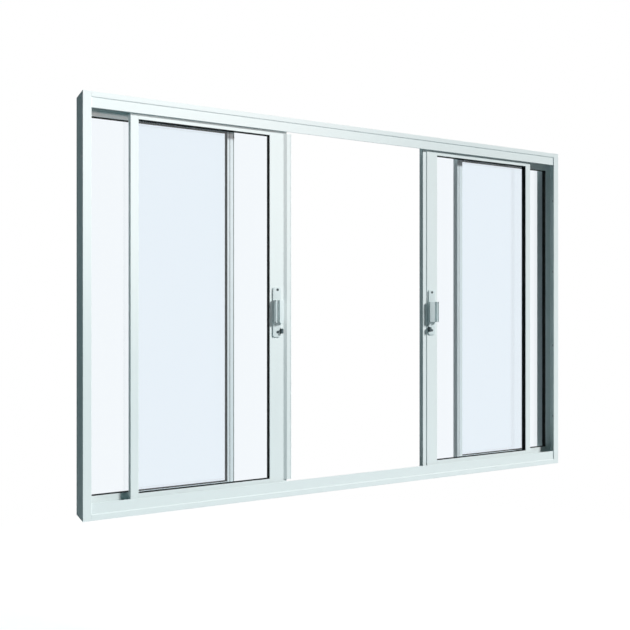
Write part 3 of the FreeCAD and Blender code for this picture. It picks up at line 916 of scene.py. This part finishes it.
class WINDOW_OT_stage(bpy.types.Operator):
    """Camera, lamps, white background and pale floor"""
    bl_idname = "sliding_window.stage"
    bl_label = "Stage"

    def execute(self, context):
        settings = looks().stage
        self.camera(context.scene, settings)
        middle = sum((Vector(corner) for corner in CAD_BOX), Vector()) / 2
        for name, kind, place, aim, watts, colour, sizes in (
                # A far, broad lamp on the right, 30 degrees above, gives shape and shadows.
                ("key_lamp", "AREA", (36.6, -43.8, 33.0), middle, settings.key, WHITE, {"size": 12.0}),
                # A weak near lamp on the left keeps the sides turned to it from going black.
                ("fill_lamp", "AREA", (-1.45, -0.85, 0.85), middle, settings.fill, (0.02, 0.85, 1.0),
                 {"size": 0.5}),
                # A spot with a soft edge makes the upper left of the window the brightest place.
                ("pool_lamp", "SPOT", (-1.0, -1.5, 1.1), Vector((-0.5, -0.03, 0.95)), settings.pool,
                 (1.0, 0.82, 0.80),
                 {"spot_size": settings.pool_width, "spot_blend": 1.0, "shadow_soft_size": 0.15}),
                # A far, broad lamp behind the window shows its other side as white as the front.
                ("back_lamp", "AREA", (22.0, 54.0, 8.0), middle, settings.back, WHITE, {"size": 12.0})):
            self.lamp(name, kind, place, aim, watts, colour, sizes)
        self.background(context.scene)
        self.floor(settings)
        context.scene.view_settings.view_transform = "Standard"
        return {"FINISHED"}

    @staticmethod
    def camera(scene, settings):
        data = bpy.data.cameras.new("photo_camera")
        data.sensor_width = SENSOR_WIDTH
        data.lens = settings.focal_length
        camera = bpy.data.objects.new("photo_camera", data)
        camera.location = settings.camera_place
        camera.rotation_euler = (math.pi / 2, 0.0, -settings.camera_turn)
        scene.collection.objects.link(camera)
        scene.camera = camera

    @staticmethod
    def lamp(name, kind, place, aim, watts, colour, sizes):
        """Lamp that looks from one place at another. Neither the camera nor the panes see it."""
        data = bpy.data.lights.new(name, kind)
        data.energy = watts
        data.color = colour
        for setting, value in sizes.items():
            setattr(data, setting, value)
        lamp = bpy.data.objects.new(name, data)
        lamp.location = place
        lamp.rotation_euler = (aim - Vector(place)).to_track_quat("-Z", "Y").to_euler()
        lamp.visible_camera = False
        lamp.visible_glossy = False
        lamp.visible_transmission = False
        bpy.context.scene.collection.objects.link(lamp)

    @staticmethod
    def seen_directly(tree, gloss_share=1.0):
        """1 for rays from the camera, also through glass, and 0 for rays that carry light to the
        object. Rays by way of gloss count by the given share.
        """
        def joined(operation, first, second):
            node = add_node(tree, "ShaderNodeMath", {0: first, 1: second}, operation=operation)
            return node.outputs["Value"]

        rays = add_node(tree, "ShaderNodeLightPath").outputs
        gloss = joined("MULTIPLY", rays["Is Glossy Ray"], gloss_share)
        clear = joined("MAXIMUM", rays["Is Camera Ray"], rays["Is Transmission Ray"])
        before_matt = joined("LESS_THAN", rays["Diffuse Depth"], 0.5)
        return joined("MULTIPLY", joined("MAXIMUM", clear, gloss), before_matt)

    def background(self, scene):
        """White where it is seen, also in gloss. The object's light comes from the lamps."""
        world = bpy.data.worlds.new("white_studio")
        world.use_nodes = True
        tree = world.node_tree
        tree.nodes.clear()
        white = add_node(tree, "ShaderNodeBackground", {"Color": opaque(WHITE), "Strength": 1.0})
        # Gloss meets white in front and above, and black behind the window, as in a studio booth.
        way = add_node(tree, "ShaderNodeTexCoord").outputs["Generated"]
        depth = add_node(tree, "ShaderNodeSeparateXYZ", {"Vector": way}).outputs["Y"]
        front = add_node(tree, "ShaderNodeMapRange", {"Value": depth, "From Min": 0.0, "From Max": 0.5,
                                                      "To Min": 1.0, "To Max": 0.0}).outputs["Result"]
        mix = add_node(tree, "ShaderNodeMixShader",
                       {0: self.seen_directly(tree, front), 2: white.outputs["Background"]})
        add_node(tree, "ShaderNodeOutputWorld", {"Surface": mix.outputs["Shader"]})
        scene.world = world

    def floor(self, settings):
        """Flat disc: rings of radius r and angle a at one height, closer together in the middle."""
        ring = np.linspace(0.0, 1.0, FLOOR_RINGS)[None, :] ** 1.5
        angle = np.linspace(0.0, 2 * math.pi, FLOOR_SECTORS, endpoint=False)[:, None]
        x = settings.floor_reach * ring * np.cos(angle)
        y = settings.floor_reach * ring * np.sin(angle)
        points = np.stack([x, y, np.full(x.shape, -settings.floor_drop)], 2).reshape(-1, 3)
        mesh = bpy.data.meshes.new("pale_floor")
        mesh.from_pydata(points.tolist(), [], grid_faces(FLOOR_SECTORS, FLOOR_RINGS, close_rows=True))
        floor = bpy.data.objects.new("pale_floor", mesh)
        bpy.context.scene.collection.objects.link(floor)
        material, tree, place = new_material("white_vinyl_sweep")
        # Faint clouds 1.25 m across, as on a sweep that has been stood on.
        tone = mottled_colour(tree, place, settings.floor, 1.25, 0.98, 1.01)
        matt = add_node(tree, "ShaderNodeBsdfDiffuse", {"Color": tone})
        glow = add_node(tree, "ShaderNodeEmission",
                        {"Color": opaque(WHITE), "Strength": settings.floor_glow})
        glow_or_none = add_node(tree, "ShaderNodeMixShader",
                                {0: self.seen_directly(tree), 2: glow.outputs["Emission"]})
        both = add_node(tree, "ShaderNodeAddShader",
                        {0: matt.outputs["BSDF"], 1: glow_or_none.outputs["Shader"]})
        # It fades out towards the rim, so that no rim shows.
        away = add_node(tree, "ShaderNodeVectorMath", {0: place}, operation="LENGTH").outputs["Value"]
        fade_start = math.hypot(settings.floor_fade * settings.floor_reach, settings.floor_drop)
        fade_end = math.hypot(settings.floor_reach, settings.floor_drop)
        fade = add_node(tree, "ShaderNodeMapRange",
                        {"Value": away, "From Min": fade_start, "From Max": fade_end}).outputs["Result"]
        clear = add_node(tree, "ShaderNodeBsdfTransparent")
        shown = add_node(tree, "ShaderNodeMixShader",
                         {0: fade, 1: both.outputs["Shader"], 2: clear.outputs["BSDF"]})
        add_node(tree, "ShaderNodeOutputMaterial", {"Surface": shown.outputs["Shader"]})
        mesh.materials.append(material)


OPERATORS = (
    WINDOW_OT_finishes,
    WINDOW_OT_gaskets,
    WINDOW_OT_latch_plates,
    WINDOW_OT_latch_pulls,
    WINDOW_OT_latch_buttons,
    WINDOW_OT_screws,
    WINDOW_OT_pile_seals,
    WINDOW_OT_groove_seals,
    WINDOW_OT_stage,
)


class WINDOW_PT_looks(bpy.types.Panel):
    """Lists the window's settings and the operators that build its looks"""
    bl_idname = "WINDOW_PT_looks"
    bl_label = "Sliding window"
    bl_space_type = "VIEW_3D"
    bl_region_type = "UI"
    bl_category = "Sliding window"

    def draw(self, context):
        layout = self.layout
        for operator in OPERATORS:
            layout.operator(operator.bl_idname)
        settings = context.scene.window_looks
        for group in (settings.finishes, settings.gasket, settings.latch, settings.hardware,
                      settings.stage):
            box = layout.box()
            for name in group.__annotations__:
                box.prop(group, name)


CLASSES = (WindowFinishes, WindowGasket, WindowLatch, WindowHardware, WindowStage, WindowLooks,
           *OPERATORS, WINDOW_PT_looks)


def register():
    for each in CLASSES:
        bpy.utils.register_class(each)
    bpy.types.Scene.window_looks = PointerProperty(type=WindowLooks, name="Window looks",
                                                   description="Settings of the sliding window")


def unregister():
    del bpy.types.Scene.window_looks
    for each in reversed(CLASSES):
        bpy.utils.unregister_class(each)


def main():
    register()
    for operator in OPERATORS:
        group, name = operator.bl_idname.split(".")
        getattr(getattr(bpy.ops, group), name)()


if __name__ == "__main__":
    main()
